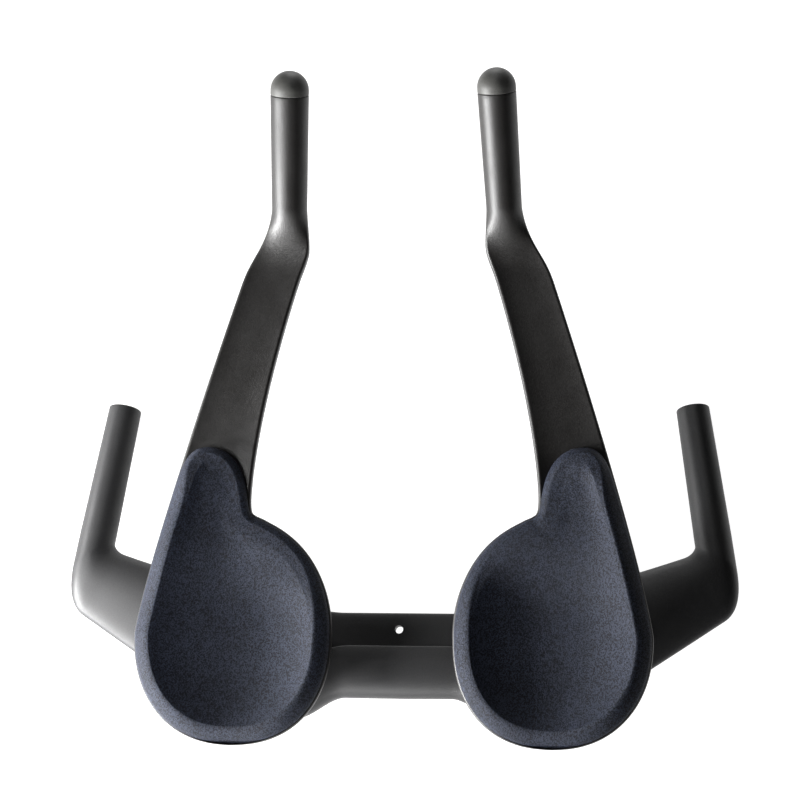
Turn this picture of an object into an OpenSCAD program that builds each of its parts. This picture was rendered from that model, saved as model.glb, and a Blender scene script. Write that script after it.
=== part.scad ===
// Time trial handlebar: one moulded base bar with two arm pylons, two moulded
// forearm arms with round end grips, padded rests and domed tip caps.
// Millimetres. +X is the rider's right, +Y is forward, +Z is up.
// The origin is the middle of the flat seat under the base bar, where a stem carries it.
// One right-hand piece is modelled, and its left-hand twin is its mirror image.

/* [Base bar] */
// Width over the elbows, outside to outside
bar_width = 446; // [430:1:470]
// Front to back over the middle of the bar
center_chord = 56; // [52:1:62]
// Height of the raised spar over the flat stem seat
bar_height = 19; // [17:0.5:23]
// Thickness of the flat flange in front of the spar
flange_t = 10; // [9.5:0.5:12]
// Front to back over that flange
flange_depth = 22.5; // [20:0.5:25]
// Depth that the trailing edge gains under each pylon
foot_bulge = 14.5; // [9:0.5:17]
// Forward sweep of the wing's front edge, from the middle to the elbow
wing_sweep = 39.5; // [34:0.5:46]
// Diameter of the hole through the flange
flange_hole_d = 5.5; // [4:0.1:7]
// Distance of that hole behind the flange's front edge
flange_hole_inset = 11; // [8:0.5:14]

/* [Horns] */
// Outer diameter of a horn at its open tip
horn_tip_d = 22.2; // [21.6:0.1:23.8]
// Outer diameter of a horn at the elbow
horn_root_d = 24.6; // [24:0.1:26]
// Reach of the horn tips in front of the stem seat's middle
horn_reach = 162; // [145:1:185]
// Lean of a horn towards the middle, in degrees
horn_lean = 7; // [4:0.5:9]
// Fall of a horn towards its tip, in degrees
horn_drop = 7.5; // [4:0.5:10]
// Bore in a horn's tip, for the expander of a brake lever
horn_bore_d = 19; // [17:0.1:19.6]
// Depth of that bore
horn_bore_depth = 62; // [40:1:68]

/* [Pylons] */
// Distance of a pylon's middle from the bar's middle
pylon_x = 92; // [89:0.5:96]
// Distance of a pylon's middle behind the seat's middle
pylon_back = 14; // [12:0.5:17]
// Width of a pylon's top
pylon_w = 62; // [58:0.5:66]
// Front to back over a pylon's top
pylon_l = 54; // [50:0.5:57]
// Height of a pylon's top over the stem seat
pylon_top = 39; // [36:0.5:42]
// Flare of a pylon's foot where it runs out on the wing
pylon_flare = 7; // [4:0.5:9]

/* [Forearm arms] */
// Distance from the bar's middle to the middle of a rest
rest_x = 101.3; // [97:0.1:105]
// Width of a tray at its round lobe
tray_w = 126; // [120:1:132]
// Reach of a tray's round end behind the stem seat's middle
tray_back = 69.5; // [66:0.5:76]
// Reach of a tray's inner shoulder in front of the stem seat's middle
tray_front = 74.5; // [72:0.5:79]
// Height of the tray's rim over the stem seat
rim_z = 62; // [60:0.5:68]
// Depth of the dish in the tray
dish_depth = 12; // [9:0.5:13]
// Wall of the tray under the dish
tray_wall = 5; // [4:0.5:6]
// Height by which the tray's outer rim stands over its inner rim
rim_rise = 7; // [3:0.5:9]
// Upward slope of the arm towards the front, in degrees
arm_slope = 3.6; // [2:0.2:5]
// Width of the forearm bar at its neck, in front of the tray
neck_w = 52; // [48:0.2:58]
// Width of the forearm bar where it turns up into the grip
arm_end_w = 37; // [32:0.2:40]
// Distance from the bar's middle to the middle of the forearm bar's front end
arm_end_x = 80.7; // [77:0.1:86]
// Distance in front of the stem seat where the bar turns up into the grip
bend_y = 238; // [226:1:250]
// Thickness of the forearm bar
arm_t = 15.5; // [13:0.5:18]
// Hollow in the top face of the forearm bar
arm_scoop = 1.4; // [0.6:0.1:2.2]
// Radius of the rounded edge along the arm
arm_edge_r = 2; // [1.4:0.1:2.4]

/* [Grips and tip caps] */
// Distance between the middles of the two grips at their lower ends
grip_spacing = 140; // [130:0.5:148]
// Length of a grip along its axis, up to the cap
grip_length = 72; // [66:1:100]
// Upward pitch of a grip, in degrees
grip_pitch = 31.5; // [24:0.5:38]
// Lean of a grip towards the middle, in degrees
grip_lean = 3.3; // [0:0.1:6]
// Diameter of a grip at the cap
grip_tip_d = 24.8; // [23.6:0.1:26]
// Diameter of a grip at the bend
grip_root_d = 23.2; // [22.2:0.1:24.6]
// Bore in a grip's open end
grip_bore_d = 19; // [17:0.1:20]
// Depth of that bore
grip_bore_depth = 60; // [40:1:66]
// Height of the straight band under a cap's dome
cap_band = 3; // [2:0.1:5]
// Length of a cap's plug in the grip
plug_length = 20; // [16:1:30]
// Number of ribs round a cap's plug
plug_ribs = 4; // [2:1:5]

/* [Pads] */
// Thickness of a pad over the tray
pad_t = 8; // [6.5:0.5:9.5]
// Rise of a pad's rolled rim over its dish
pad_roll = 3; // [2:0.5:4]
// Width of a pad's rolled rim
pad_rim_w = 12; // [10:0.5:13]
// Margin of the tray that shows round a pad
pad_margin = 0.8; // [0.5:0.1:1.5]
// Reach of a pad's front tongue in front of the stem seat's middle
pad_front = 121; // [116:1:134]
// Thickness of the hook sheet under a pad
hook_t = 1.4; // [1:0.1:1.8]

/* [Fasteners] */
// Shank diameter of the screws that hold the arms
screw_d = 5; // [4:0.5:5.5]
// Head diameter of those screws
screw_head_d = 8.5; // [8:0.1:9.5]
// Head height of those screws
screw_head_h = 3; // [2.5:0.1:3.5]
// Spacing of the arm screws across
screw_span_x = 34; // [28:1:38]
// Spacing of the arm screws front to back
screw_span_y = 28; // [24:1:31]
// Thickness of the arm's foot under the washers
foot_t = 5; // [4:0.5:5.5]
// Thickness of the washers under the screw heads
washer_t = 1; // [0.8:0.1:1.2]
// Outer diameter of the threaded inserts
insert_d = 8; // [7.4:0.1:9]
// Length of the inserts in the pylons
insert_length = 12; // [10:0.5:16]
// Length of the inserts over the stem seat
stem_insert_length = 7.5; // [6:0.5:8]
// Spacing of the stem inserts across
stem_span_x = 40; // [34:1:46]
// Spacing of the stem inserts front to back
stem_span_y = 28; // [26:0.5:30]
// Clearance round pieces that are fitted into one another
fit_gap = 0.1; // [0.05:0.05:0.2]
// Clearance between a soft piece and what carries it
soft_gap = 0.45; // [0.3:0.05:0.5]

/* [Hidden] */

$fn = 48;
CARBON = [0.2, 0.2, 0.2];
FABRIC = [0.1, 0.1, 0.15];
HOOK = [0.05, 0.05, 0.05];
STEEL = [0.55, 0.56, 0.58];
BRASS = [0.72, 0.6, 0.32];
// A cut runs this far past the face that it opens.
cut = 1;
// A skin ends this far inside the round tube that carries it on.
tuck = 0.2;

// Helpers

function mix(a, b, t) = a + (b - a) * t;
// Runs from 0 at a to 1 at b, level at both ends.
function ease(a, b, v) = let(t = min(1, max(0, (v - a) / (b - a)))) t * t * (3 - 2 * t);
// Follows v where it is positive and 0 where it is negative, round in between.
function ramp(v, round_over) = (v + sqrt(v * v + round_over * round_over)) / 2;
// The smaller of two values, with the corner between them rounded off.
function soft_min(a, b, round_over) = (a + b - sqrt((a - b) * (a - b) + round_over * round_over)) / 2;
// Quarter of a superellipse: 1 at v = 0, falling to 0 at v = 1.
function shoulder(v, power) = pow(max(0, 1 - pow(min(1, abs(v)), power)), 1 / power);
// Power that keeps the sign.
function spow(v, power) = sign(v) * pow(abs(v), power);
// Curve from a to c that heads for b on its way.
function bend_curve(a, b, c, t) = a * (1 - t) * (1 - t) + b * 2 * t * (1 - t) + c * t * t;
function unit(v) = v / norm(v);
function flip_x(p) = [-p.x, p.y, p.z];

// Closed skin over rings of equally many points, an even number. Each end is zipped shut
// from the ring's first point to the point opposite.
module skin(rings) {
    n = len(rings[0]);
    m = len(rings);
    sides = [for (k = [0 : m - 2], i = [0 : n - 1])
        let(a = k * n + i, b = k * n + (i + 1) % n) each [[a, b, b + n], [a, b + n, a + n]]];
    zip = [for (k = [0 : n / 2 - 1]) each concat(k < n / 2 - 1 ? [[k, k + 1, n - k - 1]] : [],
                                                 k > 0 ? [[k, n - k - 1, n - k]] : [])];
    first_end = [for (t = zip) [t[2], t[1], t[0]]];
    last_end = [for (t = zip) [for (i = t) (m - 1) * n + i]];
    polyhedron([for (ring = rings) each ring], concat(sides, first_end, last_end));
}

// Turns a child that points up +Z so that it points along dir from the point p.
module aim(p, dir) {
    translate(p) rotate([0, acos(dir.z), atan2(dir.y, dir.x)]) children();
}

module at_corners(span_x, span_y) {
    for (x = [-1, 1], y = [-1, 1]) translate([x * span_x / 2, y * span_y / 2, 0]) children();
}

module twins(x) {
    for (side = [-1, 1]) translate([side * x, 0, 0]) children();
}

// Base bar in plan, for its right-hand half

mid_z = bar_height / 2;
front_y = center_chord / 2 - 7;
back_y = front_y - center_chord;
// The seat for the stem lies under the middle of the straight stretch.
stem_y = (front_y + back_y) / 2 + 1.5;
straight_half = 38;
sweep_power = 1.35;
foot_bulge_x = [35, 68];
corner_front = [bar_width / 2 - 30, front_y + wing_sweep, mid_z];
corner_back = [bar_width / 2 + 1.5, front_y + 4, mid_z];
rear_slope = 0.669;
rear_round = 18;
sweep_start = corner_back.x - (corner_back.y - back_y + foot_bulge) / rear_slope;

// Front edge of the wing at a distance x from the middle: straight, then swept forward.
function front_edge(x) =
    front_y + wing_sweep * pow(max(0, x - straight_half) / (corner_front.x - straight_half), sweep_power);
// Trailing edge: straight, bulged under the pylon, then swept forward to the elbow.
function back_edge(x) = back_y - foot_bulge * ease(foot_bulge_x[0], foot_bulge_x[1], x)
    + rear_slope * (ramp(x - sweep_start, rear_round) - ramp(-sweep_start, rear_round));

// Horn axis, from the elbow to the open tip.
horn_dir = [-sin(horn_lean) * cos(horn_drop), cos(horn_lean) * cos(horn_drop), -sin(horn_drop)];
horn_across = [cos(horn_lean), sin(horn_lean), 0];
horn_root = [bar_width / 2 - 17, corner_front.y + 11, mid_z - 2];
horn_length = (horn_reach - horn_root.y) / horn_dir.y;
horn_tip = horn_root + horn_dir * horn_length;
horn_half = horn_root_d / 2 - tuck;

// The bar's front and back rails, paired by s: 0 in the middle, 1 before the elbow,
// 2 past the elbow and 3 inside the horn.
elbow_in_front = [corner_front.x - 7, front_edge(corner_front.x - 7), mid_z];
elbow_in_back = [corner_back.x - 12, back_edge(corner_back.x - 12), mid_z];
elbow_out_front = horn_root - horn_across * horn_half - horn_dir * 4;
elbow_out_back = horn_root + horn_across * horn_half - horn_dir * 24;
function front_rail(s) =
    s <= 1 ? let(x = elbow_in_front.x * s) [x, front_edge(x), mid_z]
    : s <= 2 ? bend_curve(elbow_in_front, corner_front, elbow_out_front, s - 1)
    : mix(elbow_out_front, horn_root - horn_across * horn_half + horn_dir * 5, s - 2);
function back_rail(s) =
    s <= 1 ? let(x = elbow_in_back.x * s) [x, back_edge(x), mid_z]
    : s <= 2 ? bend_curve(elbow_in_back, corner_back, elbow_out_back, s - 1)
    : mix(elbow_out_back, horn_root + horn_across * horn_half + horn_dir * 5, s - 2);

// Sections of the bar as [chord, height]: chord is 1 at the front rail and -1 at the back rail,
// height is measured from the middle height of the rails.
section_angles = [0, 8, 20, 36, 56, 76, 90, 91, 101, 112, 123, 134, 145, 156, 167, 180,
                  192, 206, 222, 240, 258, 282, 300, 318, 336, 350];
step_chord = 1 - 2 * flange_depth / center_chord;
spar_peak = step_chord - 0.36;
// Outline of the raised spar, cut off upright at its front.
function spar_height(c) = c > spar_peak ? shoulder((c - spar_peak) / 0.75, 2)
    : shoulder((c - spar_peak) / (1 + spar_peak), 2.3);
function middle_section(a) =
    a <= 90 ? [mix(step_chord, 1, pow(cos(a), 0.3)), mix(flange_t / 2, flange_t, pow(sin(a), 0.3)) - mid_z]
    : a <= 180 ? let(c = mix(step_chord, -1, pow(-cos(a), 0.9)))
        [c, mix(mid_z * 0.6, bar_height, spar_height(c)) - mid_z]
    : [spow(cos(a), 0.45), mix(mid_z * 0.55, -0.5, pow(-sin(a), 0.3)) - mid_z];
function wing_section(a, half_t) = [cos(a), half_t * spow(sin(a), 0.9) * (1 + 0.12 * cos(a))];
function round_section(a, half_t) = [cos(a), half_t * sin(a)];

function bar_ring(s) =
    let(f = front_rail(s), b = back_rail(s), half_t = mix(mid_z + 0.5, horn_half, ease(0.8, 2.2, s)),
        wing_w = ease(0.34, 0.6, s), round_w = ease(1, 2, s))
    [for (a = section_angles)
        let(flat = mix(middle_section(a), wing_section(a, half_t), wing_w),
            p = mix(flat, round_section(a, half_t), round_w))
        mix(b, f, (1 + p[0]) / 2) + [0, 0, p[1]]];

bar_stations = concat([0, 0.14, 0.2, 0.24, 0.28, 0.32, 0.37, 0.43, 0.5, 0.57, 0.65, 0.73, 0.81, 0.88, 0.94],
                      [for (k = [0 : 8]) 1 + k / 8], [2.5, 3]);

// Pylon: rounded rectangles as [height, share of the flare], which run out on the wing's top
// and close inside the wing.
module pylon() {
    wing_top = bar_height - 1;
    steps = [[pylon_top, 0], [wing_top + 14, 0], [wing_top + 10, 0.08], [wing_top + 6, 0.28],
             [wing_top + 2, 0.6], [wing_top - 2, 1], [mid_z + 3, 0.8], [mid_z - 3, -0.6]];
    rings = [for (step = steps)
        let(half_x = pylon_w / 2 + pylon_flare * step[1], half_y = pylon_l / 2 + 0.8 * pylon_flare * step[1])
        [for (a = [0 : 12 : 348])
            [half_x * spow(cos(a), 0.6), half_y * spow(sin(a), 0.6) - pylon_back, step[0]]]];
    skin(rings);
}

module base_bar() {
    color(CARBON) difference() {
        union() {
            skin(concat([for (k = [len(bar_stations) - 1 : -1 : 0]) bar_ring(bar_stations[k])],
                        [for (k = [1 : len(bar_stations) - 1])
                            [for (p = bar_ring(bar_stations[k])) flip_x(p)]]));
            twins(pylon_x) pylon();
            for (side = [1, -1]) mirror([side < 0 ? 1 : 0, 0, 0])
                aim(horn_root, horn_dir) cylinder(h = horn_length, d1 = horn_root_d, d2 = horn_tip_d);
        }
        translate([-pylon_x / 2, 2 * back_y, -bar_height]) cube([pylon_x, -4 * back_y, bar_height]);
        for (side = [1, -1]) mirror([side < 0 ? 1 : 0, 0, 0])
            aim(horn_tip + horn_dir * cut, -horn_dir) cylinder(h = horn_bore_depth + cut, d = horn_bore_d);
        translate([0, front_y - flange_hole_inset, -cut]) cylinder(h = flange_t + 2 * cut, d = flange_hole_d);
        translate([0, stem_y, -cut]) at_corners(stem_span_x, stem_span_y)
            cylinder(h = stem_insert_length + fit_gap * 2 + cut, d = insert_d + 2 * fit_gap);
        twins(pylon_x) translate([0, -pylon_back, pylon_top - insert_length - 2 * fit_gap])
            at_corners(screw_span_x, screw_span_y)
                cylinder(h = insert_length + cut, d = insert_d + 2 * fit_gap);
    }
}

// Forearm arm in plan: a round lobe whose front outer edge runs on into the forearm bar

neck_y = tray_front + 10;
slope_rise = tan(arm_slope);
// The rim runs level along the tray and slopes up from level_end on, over a soft bend.
level_end = 10;
level_round = 60;
// The notch between the tray and the forearm bar is rounded by this share.
notch_round = 0.1;
// The front of the tray's lobe is a superellipse of this power.
lobe_power = 2.05;
// Stretch in which the dished tray turns into the flat forearm bar.
flatten = [40, 128];
end_wall = 3;

function out_edge(y) = y < 0 ? rest_x + tray_w / 2 * shoulder(y / tray_back, 2.2)
    : rest_x + tray_w / 2 - (rest_x + tray_w / 2 - arm_end_x - arm_end_w / 2) * pow(y / bend_y, 1.17);
neck_in = out_edge(neck_y) - neck_w;
function bar_in(y) =
    neck_in - (neck_in - arm_end_x + arm_end_w / 2) * pow(max(0, y - neck_y) / (bend_y - neck_y), 1.51);
function lobe_share(y) =
    y < 0 ? shoulder(y / tray_back, 2.3)
    : pow(ramp(1 - pow(y / tray_front, lobe_power), notch_round), 1 / lobe_power);
function lobe_in(y) = rest_x - tray_w / 2 * lobe_share(y) + 2 * max(0, y - tray_front);
function in_edge(y) = y < 0 ? lobe_in(y) : soft_min(lobe_in(y), bar_in(y), 7 * ease(20, 60, y));

// Heights across the arm at a distance y in front of the seat.
function flat_share(y) = ease(flatten[0], flatten[1], y);
function rim_height(x, y) =
    rim_z + slope_rise * ramp(y - level_end, level_round)
    + rim_rise * (x - rest_x) / tray_w * (1 - flat_share(y));
function dish(y) = mix(arm_scoop, dish_depth, (1 - flat_share(y)) * shoulder(min(0, y) / tray_back, 2.4));
function wall(y) =
    mix(mix(tray_wall, end_wall, ease(-40, -tray_back, y)), arm_t - arm_scoop, ease(20, 115, y));
// Top face of the tray and of the forearm bar.
function tray_top(x, y) =
    let(a = in_edge(y), b = out_edge(y), t = min(1, abs(2 * x - a - b) / (b - a - 2 * arm_edge_r)))
    rim_height(x, y) - dish(y) * (1 - pow(t, 2.6));

// Section of the arm as [across, height], with a flat or dished top, rounded edges and a full belly.
top_steps = [-1, -0.93, -0.82, -0.66, -0.46, -0.24, 0, 0.24, 0.46, 0.66, 0.82, 0.93, 1];
belly_angles = [12, 26, 42, 58, 74, 90, 106, 122, 138, 154, 168];
function flat_ring(half_w, hollow, depth, belly) = concat(
    [for (u = top_steps) [-(half_w - arm_edge_r) * u, -hollow * (1 - pow(abs(u), 2.6))]],
    [[-half_w + 0.3 * arm_edge_r, -0.3 * arm_edge_r], [-half_w, -arm_edge_r]],
    [for (a = belly_angles)
        [-half_w * spow(cos(a), 0.85), -arm_edge_r - (depth - arm_edge_r) * pow(sin(a), belly)]],
    [[half_w, -arm_edge_r], [half_w - 0.3 * arm_edge_r, -0.3 * arm_edge_r]]);
function round_ring(r) = concat(
    [for (u = top_steps) [-r * sin(78 * u), r * cos(78 * u)]],
    [[-r * sin(84), r * cos(84)], [-r, 0]],
    [for (a = belly_angles) [-r * cos(a), -r * sin(a)]],
    [[r, 0], [r * sin(84), r * cos(84)]]);

function arm_ring(y) =
    let(a = in_edge(y), b = out_edge(y), mid = (a + b) / 2)
    [for (p = flat_ring((b - a) / 2, dish(y), dish(y) + wall(y), mix(0.8, 0.6, flat_share(y))))
        [mid + p[0], y, rim_height(mid + p[0], y) + p[1]]];

// The bend: the flat section turns round while its middle climbs into the grip's axis.
grip_dir = [-sin(grip_lean) * cos(grip_pitch), cos(grip_lean) * cos(grip_pitch), sin(grip_pitch)];
bend_run = 39.5;
bend_start = [arm_end_x, bend_y, rim_height(arm_end_x, bend_y) - arm_t / 2];
grip_root = [grip_spacing / 2, bend_y + bend_run,
             bend_start.z + bend_run * mix(slope_rise, tan(grip_pitch), 0.84)];
start_pull = [-0.74, 1, slope_rise] * bend_run;
end_pull = grip_dir * bend_run * 0.6;
function bend_mid(t) = bend_start * (2 * t * t * t - 3 * t * t + 1)
    + start_pull * (t * t * t - 2 * t * t + t)
    + grip_root * (3 * t * t - 2 * t * t * t) + end_pull * (t * t * t - t * t);
function bend_ring(t) =
    let(mid = bend_mid(t), ahead = unit(bend_mid(t + 0.02) - bend_mid(t - 0.02)), turn = ease(0, 1, t),
        across = unit(mix([1, 0, 0], [ahead.y, -ahead.x, 0], turn)),
        up = unit(mix([0, 0, 1], cross(across, ahead), turn)),
        r = mix(arm_t / 2, grip_root_d / 2 - tuck, turn),
        half_w = mix(arm_end_w / 2, grip_root_d / 2 - tuck, pow(t, 9)),
        flat_points = flat_ring(half_w, arm_scoop, 2 * r, 0.6), round_points = round_ring(r))
    [for (i = [0 : len(flat_points) - 1])
        let(p = mix(flat_points[i] + [0, r], round_points[i], turn)) mid + across * p[0] + up * p[1]];

tray_stations = concat(
    [for (v = [0.998, 0.985, 0.955, 0.9, 0.82, 0.71, 0.58, 0.42, 0.22]) -v * tray_back],
    [for (v = [0, 0.2, 0.38, 0.53, 0.66, 0.76, 0.84, 0.9, 0.95, 0.99, 1.03, 1.07, 1.14]) v * tray_front],
    [for (v = [0.05, 0.13, 0.23, 0.35, 0.48, 0.61, 0.74, 0.86, 0.95]) mix(neck_y, bend_y, v)]);

module arm() {
    foot_top = pylon_top + foot_t;
    color(CARBON) difference() {
        union() {
            skin(concat([for (y = tray_stations) arm_ring(y)], [for (k = [0 : 7]) bend_ring(k / 7)],
                        [[for (p = bend_ring(1)) p + grip_dir * 3]]));
            aim(grip_root, grip_dir) cylinder(h = grip_length, d1 = grip_root_d, d2 = grip_tip_d);
            translate([pylon_x, -pylon_back, pylon_top])
                foot_block(rim_z - dish_depth - tray_wall / 2 - pylon_top);
        }
        aim(grip_root + grip_dir * (grip_length + cut), -grip_dir)
            cylinder(h = grip_bore_depth + cut, d = grip_bore_d);
        translate([pylon_x, -pylon_back, 0]) at_corners(screw_span_x, screw_span_y) {
            translate([0, 0, pylon_top - cut]) cylinder(h = foot_t + 2 * cut, d = screw_d + 4 * fit_gap);
            translate([0, 0, foot_top]) cylinder(h = rim_z - foot_top, d = screw_head_d + 8 * fit_gap);
        }
    }
}

// Foot of the arm: a block with round corners that stands on the pylon's top, inside its edge.
module foot_block(h) {
    corner_r = 12;
    edge_inset = 2;
    w = pylon_w - 2 * edge_inset;
    l = pylon_l - 2 * edge_inset;
    linear_extrude(h) difference() {
        square([w, l], center = true);
        for (turn_x = [0, 1], turn_y = [0, 1]) mirror([turn_x, 0, 0]) mirror([0, turn_y, 0])
            translate([w / 2 - corner_r, l / 2 - corner_r]) difference() {
                square(corner_r + cut);
                circle(corner_r);
            }
    }
}

module tip_cap() {
    r = grip_tip_d / 2;
    plug_r = grip_bore_d / 2 - fit_gap;
    rib_pitch = plug_length / (plug_ribs + 0.5);
    groove = 0.8;
    color(CARBON) aim(grip_root + grip_dir * (grip_length + fit_gap), grip_dir) {
        rotate_extrude() {
            translate([0, cap_band]) intersection() {
                circle(r);
                square([r, r]);
            }
            square([r, cap_band]);
            translate([0, -plug_length]) square([plug_r - groove, plug_length + cut]);
            for (k = [0 : plug_ribs - 1])
                translate([0, -plug_length + rib_pitch * (k + 0.5)]) square([plug_r, rib_pitch * 0.45]);
        }
    }
}

// Pad outline, running up the outer side and back down the inner side

outline_steps = 36;
tongue_tip_x = rest_x + 18.7;
spine_back = [rest_x, -8];
spine_front = [rest_x + 15, pad_front - 24];
// The front tongue closes over a length: long and round inside, short and tight outside.
function closing(y, length, power) = shoulder(max(0, y - pad_front + length) / length, power);
function pad_edge(y, side) =
    side > 0 ? [tongue_tip_x + (out_edge(y) - tongue_tip_x) * closing(y, 24, 3), y]
    : [tongue_tip_x - (tongue_tip_x - in_edge(y)) * closing(y, 44, 2), y];
// The outline's points crowd together at both ends and at the notch behind the tongue.
notch_share = 0.61;
function crowded(v) = v - 0.08 * (sin(360 * (v - notch_share)) + sin(360 * notch_share));
edge_y = [for (k = [0 : outline_steps])
    mix(-tray_back, pad_front, (1 - cos(180 * crowded(k / outline_steps))) / 2)];
pad_outline = concat([for (k = [0 : outline_steps]) pad_edge(edge_y[k], 1)],
                     [for (k = [outline_steps - 1 : -1 : 1]) pad_edge(edge_y[k], -1)]);
outline_n = len(pad_outline);
// Point of the outline moved in by a distance, square to the edge.
function inset_point(i, d) =
    let(v = pad_outline[(i + 1) % outline_n] - pad_outline[(i + outline_n - 1) % outline_n])
    pad_outline[i] + d * unit([-v.y, v.x]);
// Point that runs from the inner edge of the rolled rim, w = 0, to the pad's spine, w = 1.
function floor_point(i, w) =
    let(p = inset_point(i, pad_margin + pad_rim_w),
        along = min(1, max(0, (p.y - spine_back.y) / (spine_front.y - spine_back.y))))
    mix(p, mix(spine_back, spine_front, along), w);
function lifted(p, h) = [p.x, p.y, tray_top(p.x, p.y) + h];
function rim_ring(d, h) = [for (i = [0 : outline_n - 1]) lifted(inset_point(i, pad_margin + d), h)];
function floor_ring(w, h) = [for (i = [0 : outline_n - 1]) lifted(floor_point(i, w), h)];

// Shares of the way from the rolled rim to the spine: the hook sheet starts inside the edge
// of its pocket under the pad, and every floor ends beside the spine.
pocket_edge = 0.12;
hook_edge = 0.2;
floor_mid = 0.55;
spine_end = 0.88;

module hook_sheet() {
    shares = [hook_edge, floor_mid, spine_end];
    color(HOOK) skin(concat([for (k = [2, 1, 0]) floor_ring(shares[k], soft_gap + hook_t)],
                            [for (k = [0, 1, 2]) floor_ring(shares[k], soft_gap)]));
}

module pad() {
    pocket = 2 * soft_gap + hook_t;
    crest = pad_t + pad_roll;
    color(FABRIC) skin([floor_ring(spine_end, pad_t), floor_ring(floor_mid, pad_t), floor_ring(0.2, pad_t),
                        floor_ring(0, mix(pad_t, crest, 0.2)), rim_ring(9, mix(pad_t, crest, 0.7)),
                        rim_ring(5.5, crest), rim_ring(2.4, mix(pad_t, crest, 0.7)),
                        rim_ring(0.5, pad_t * 0.75), rim_ring(0, pad_t * 0.35),
                        rim_ring(1.2, soft_gap), rim_ring(6, soft_gap),
                        floor_ring(pocket_edge / 2, soft_gap), floor_ring(pocket_edge, pocket),
                        floor_ring(floor_mid, pocket), floor_ring(spine_end, pocket)]);
}

// Fasteners

// A screw's shank ends this far over the end of its insert.
shank_short = 2;
// Hexagon socket: width over its corners, and depth.
hex_d = 4.6;
hex_depth = 2;

module arm_screws() {
    shank = foot_t + washer_t + insert_length - shank_short;
    color(STEEL) twins(pylon_x) translate([0, -pylon_back, pylon_top + foot_t + washer_t])
        at_corners(screw_span_x, screw_span_y) difference() {
            union() {
                cylinder(h = screw_head_h, d = screw_head_d);
                translate([0, 0, -shank]) cylinder(h = shank + tuck, d = screw_d);
            }
            translate([0, 0, screw_head_h - hex_depth]) cylinder(h = hex_depth + cut, d = hex_d, $fn = 6);
        }
}

module arm_washers() {
    color(STEEL) twins(pylon_x) translate([0, -pylon_back, pylon_top + foot_t])
        at_corners(screw_span_x, screw_span_y) difference() {
            cylinder(h = washer_t, d = screw_head_d + 4 * fit_gap);
            translate([0, 0, -cut]) cylinder(h = washer_t + 2 * cut, d = screw_d + 2 * fit_gap);
        }
}

module insert(length) {
    difference() {
        cylinder(h = length, d = insert_d);
        translate([0, 0, -cut]) cylinder(h = length + 2 * cut, d = screw_d + 2 * fit_gap);
    }
}

module pylon_inserts() {
    color(BRASS) twins(pylon_x) translate([0, -pylon_back, pylon_top - insert_length - fit_gap])
        at_corners(screw_span_x, screw_span_y) insert(insert_length);
}

module stem_inserts() {
    color(BRASS) translate([0, stem_y, fit_gap])
        at_corners(stem_span_x, stem_span_y) insert(stem_insert_length);
}

module left() {
    mirror([1, 0, 0]) children();
}

base_bar();
left() arm();  // arm_left
arm();  // arm_right
left() hook_sheet();  // hook_sheet_left
hook_sheet();  // hook_sheet_right
left() pad();  // pad_left
pad();  // pad_right
left() tip_cap();  // tip_cap_left
tip_cap();  // tip_cap_right
arm_screws();
arm_washers();
pylon_inserts();
stem_inserts();
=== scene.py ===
# Time trial handlebar: moulded base bar, two forearm arms, flocked pads and domed grip caps.
# Metres. +X is the rider's right, +Y forward and +Z up. The origin is the middle of the stem seat.
import math

import bpy
import numpy as np
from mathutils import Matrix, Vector


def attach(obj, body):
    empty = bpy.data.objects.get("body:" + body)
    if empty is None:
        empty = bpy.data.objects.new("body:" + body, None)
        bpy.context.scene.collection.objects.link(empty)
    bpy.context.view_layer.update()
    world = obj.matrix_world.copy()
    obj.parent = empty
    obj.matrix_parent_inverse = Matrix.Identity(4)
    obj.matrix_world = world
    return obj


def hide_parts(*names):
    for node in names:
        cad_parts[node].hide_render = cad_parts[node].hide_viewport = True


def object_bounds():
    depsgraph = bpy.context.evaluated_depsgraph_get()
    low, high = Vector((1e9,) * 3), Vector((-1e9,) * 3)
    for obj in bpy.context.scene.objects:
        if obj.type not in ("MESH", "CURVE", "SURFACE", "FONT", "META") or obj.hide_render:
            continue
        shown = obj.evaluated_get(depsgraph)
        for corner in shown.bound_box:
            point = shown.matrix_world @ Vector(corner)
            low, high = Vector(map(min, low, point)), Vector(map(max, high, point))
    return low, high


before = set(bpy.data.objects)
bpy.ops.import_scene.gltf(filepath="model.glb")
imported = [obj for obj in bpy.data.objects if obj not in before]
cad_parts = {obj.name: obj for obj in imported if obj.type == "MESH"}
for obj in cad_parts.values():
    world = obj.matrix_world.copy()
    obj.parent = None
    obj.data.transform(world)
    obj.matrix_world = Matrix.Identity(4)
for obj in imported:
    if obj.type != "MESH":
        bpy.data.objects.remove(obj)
cad_box = [list(corner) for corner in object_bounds()]

# Base bar. A corner is where the lines of a rail would meet, and an elbow's two numbers are how far
# before its corner the bend starts and how far before the horn's root it ends.
BAR_WIDTH = 0.446
BAR_BACK = 0.007
CENTER_CHORD = 0.056
BAR_HEIGHT = 0.019
FLANGE_T = 0.010
FLANGE_DEPTH = 0.0225
STEP_R = 0.0009
FOOT_BULGE = 0.0145
FOOT_BULGE_X = (0.035, 0.068)
WING_SWEEP = 0.0395
SWEEP_POWER = 1.35
STRAIGHT_HALF = 0.038
FRONT_CORNER_IN = 0.030
BACK_CORNER_OUT = (0.0015, 0.004)
REAR_SLOPE = 0.669
REAR_ROUND = 0.018
ELBOW_FRONT = (0.007, 0.004)
ELBOW_BACK = (0.012, 0.024)
SPAR_PEAK_BACK = 0.36
SPAR_FRONT_REACH = 0.75
SPAR_LOW = 0.6
UNDER_HIGH = 0.55
WING_NOSE = 0.12
TO_WING = (0.34, 0.6)
THICKEN = (0.8, 2.2)
HOLE_D = 0.0055
HOLE_INSET = 0.011
SEAT_HALF = 0.046
SEAT_EASE = 0.006
SEAT_DROP = 0.0005
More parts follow.
